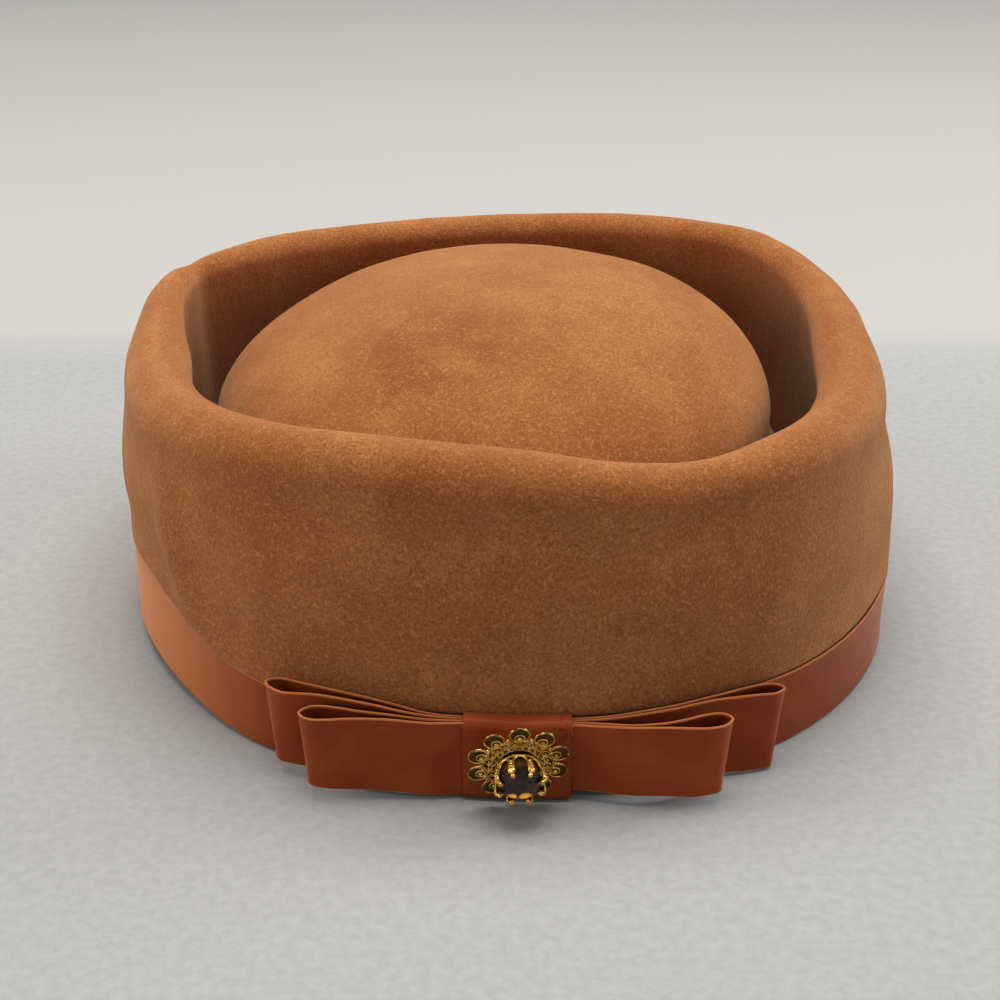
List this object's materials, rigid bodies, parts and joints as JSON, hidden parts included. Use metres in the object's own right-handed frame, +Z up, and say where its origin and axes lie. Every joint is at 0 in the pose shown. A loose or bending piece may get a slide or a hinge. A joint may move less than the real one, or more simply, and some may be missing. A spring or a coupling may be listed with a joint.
{
  "type": "pillbox hat",
  "caption": "Felt pillbox hat: domed crown inside a turned-up cuff with a soft rolled rim, satin ribbon band, flat double bow and a gilt filigree brooch with a round stone.",
  "frame": {"origin": "on the surface the hat rests on, under the middle of the whole hat", "axes": "+Z up out of the crown; the bow is at the front, on -Y; +X is on the viewer's right"},
  "size_m": [0.1868, 0.219, 0.0786],
  "materials": {
    "felt": "brushed fur felt, soft short nap",
    "satin": "satin ribbon",
    "gilt": "aged gilt",
    "stone": "polished facets"
  },
  "bodies": {
    "root": {"crown": "felt", "cuff": "felt", "hat_band": "satin", "bow_back": "satin", "bow_front": "satin", "bow_knot": "satin", "brooch": "gilt", "stone": "stone"}
  },
  "joints": []
}
